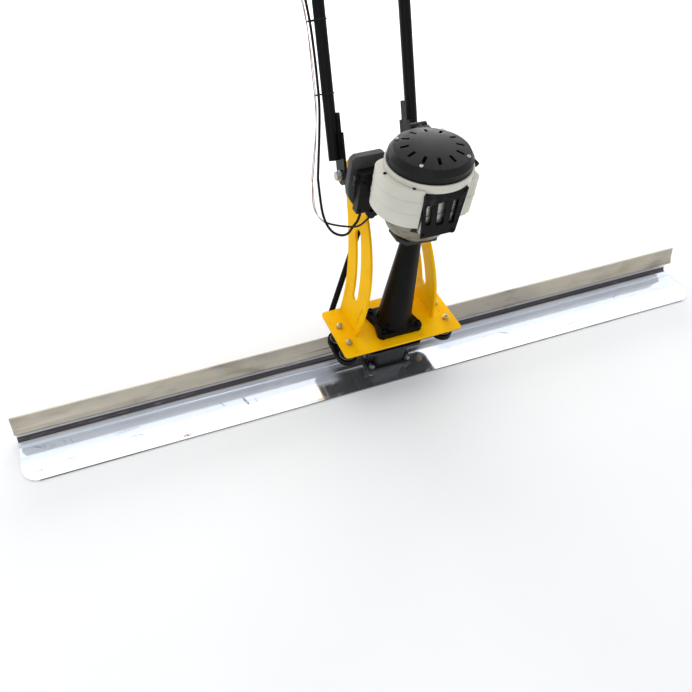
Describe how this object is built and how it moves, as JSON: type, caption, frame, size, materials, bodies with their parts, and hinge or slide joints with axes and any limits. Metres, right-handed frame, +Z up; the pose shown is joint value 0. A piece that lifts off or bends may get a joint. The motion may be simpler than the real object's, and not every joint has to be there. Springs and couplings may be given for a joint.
{
  "type": "power screed",
  "caption": "Hand-guided vibrating screed: a long aluminium board driven by a small vertical-shaft petrol engine above rubber mounts, with a tilting tubular handle.",
  "frame": {"origin": "on the flat sole of the board, at the middle of its length, in the plane it rests on", "axes": "+X along the board; +Z up; +Y towards the operator, so the board's thin front edge faces -Y"},
  "size_m": [1.8, 0.5764, 0.995],
  "materials": {
    "board": "satin",
    "zinc_steel": "satin",
    "casting": "satin",
    "steel": "satin",
    "black_steel": "satin",
    "rubber": "matte",
    "yellow_paint": "gloss",
    "case_metal": "matte",
    "cylinder_metal": "matte",
    "ivory_plastic": "satin",
    "muffler_steel": "satin",
    "black_plastic": "satin",
    "grey_plastic": "matte",
    "plug_ceramic": "gloss",
    "bronze": "satin",
    "black_aluminium": "satin",
    "cable_sleeve": "satin",
    "red_plastic": "gloss"
  },
  "bodies": {
    "frame": {"blade": "board", "blade_screws": "steel", "exciter_housing": "casting", "exciter_cover": "casting", "cover_screws": "steel", "exciter_bearings": "steel", "lower_bracket": "black_steel", "isolators": "rubber", "isolator_studs": "steel", "isolator_nuts": "zinc_steel", "engine_plate": "yellow_paint", "arm_left": "yellow_paint", "arm_right": "yellow_paint", "drive_housing": "casting", "housing_bolts": "black_steel", "shaft_bearings": "steel", "clutch_housing": "casting", "crankcase": "case_metal", "crank_bearings": "steel", "cylinder": "cylinder_metal", "cylinder_cover": "ivory_plastic", "fan_shroud": "ivory_plastic", "muffler": "muffler_steel", "muffler_guard": "black_steel", "carburettor": "black_plastic", "air_cleaner": "grey_plastic", "fuel_tank": "ivory_plastic", "recoil_housing": "black_plastic", "spark_plug": "plug_ceramic", "pivot_tube": "yellow_paint", "pivot_bushes": "bronze", "stand_bracket": "yellow_paint", "stand_pin": "steel", "throttle_cable_lower": "cable_sleeve", "stop_lead_lower": "cable_sleeve"},
    "engine_rotor": {"crankshaft": "steel", "flywheel": "cylinder_metal", "clutch_shoes": "steel"},
    "drive_line": {"clutch_drum": "steel", "drive_shaft": "steel", "coupling": "steel", "eccentric_shaft": "steel", "eccentric_weight": "steel"},
    "handle": {"pivot_bolt": "steel", "handle_left": "black_aluminium", "handle_right": "black_aluminium", "handlebar": "black_aluminium", "grips": "rubber", "control_mount": "black_plastic", "throttle_cable_upper": "cable_sleeve", "stop_lead_upper": "cable_sleeve"},
    "kickstand": {"kickstand": "black_steel"},
    "throttle_lever": {"throttle_lever": "black_plastic"},
    "stop_button": {"stop_button": "red_plastic"},
    "clamp_knob": {"clamp_knob": "black_plastic"},
    "recoil_grip": {"recoil_grip": "black_plastic"},
    "choke_lever": {"choke_lever": "black_plastic"},
    "primer_bulb": {"primer_bulb": "black_plastic"},
    "fuel_cap": {"fuel_cap": "black_plastic"},
    "oil_cap": {"oil_cap": "black_plastic"}
  },
  "joints": [
    {"name": "engine_spin", "type": "hinge", "parent": "frame", "child": "engine_rotor", "pos_m": [0, 0.012, 0.505], "axis": [0, 0, 1], "continuous": true},
    {"name": "drive_spin", "type": "hinge", "parent": "frame", "child": "drive_line", "pos_m": [0, 0.012, 0.25], "axis": [0, 0, 1], "continuous": true},
    {"name": "handle_tilt", "type": "hinge", "parent": "frame", "child": "handle", "pos_m": [0, 0.2, 0.44], "axis": [1, 0, 0], "range_deg": [-25, 20]},
    {"name": "kickstand_swing", "type": "hinge", "parent": "frame", "child": "kickstand", "pos_m": [-0.119, 0.1035, 0.108], "axis": [1, 0, 0], "range_deg": [-105, 0]},
    {"name": "throttle_squeeze", "type": "hinge", "parent": "handle", "child": "throttle_lever", "pos_m": [-0.196, 0.44873, 0.97596], "axis": [0, 0.4695, 0.8829], "range_deg": [-16, 0], "stiffness_Nm_per_rad": 1, "springref_deg": 11.46},
    {"name": "stop_press", "type": "slide", "parent": "handle", "child": "stop_button", "axis": [0, -0.8829, 0.4695], "range_m": [0, 0.003], "stiffness_N_per_m": 400, "springref_m": -0.002},
    {"name": "knob_turn", "type": "hinge", "parent": "handle", "child": "clamp_knob", "pos_m": [0.09, 0.2, 0.44], "axis": [1, 0, 0], "range_deg": [0, 270]},
    {"name": "starter_pull", "type": "slide", "parent": "frame", "child": "recoil_grip", "axis": [0, 1, 0], "range_m": [0, 0.45], "stiffness_N_per_m": 40, "springref_m": -0.1},
    {"name": "choke_turn", "type": "hinge", "parent": "frame", "child": "choke_lever", "pos_m": [-0.1, 0.084, 0.514], "axis": [1, 0, 0], "range_deg": [-45, 0]},
    {"name": "primer_press", "type": "slide", "parent": "frame", "child": "primer_bulb", "axis": [0, 0, 1], "range_m": [0, 0.004], "stiffness_N_per_m": 300, "springref_m": -0.002},
    {"name": "fuel_cap_turn", "type": "hinge", "parent": "frame", "child": "fuel_cap", "pos_m": [0.085, 0.015, 0.54], "axis": [0.7071, 0, 0.7071], "range_deg": [0, 90]},
    {"name": "oil_cap_turn", "type": "hinge", "parent": "frame", "child": "oil_cap", "pos_m": [0.026, 0.06, 0.444], "axis": [0, 1, 0], "range_deg": [0, 360]}
  ],
  "couplings": [
    {"joint": "drive_spin", "follows": "engine_spin", "ratio": 1}
  ]
}
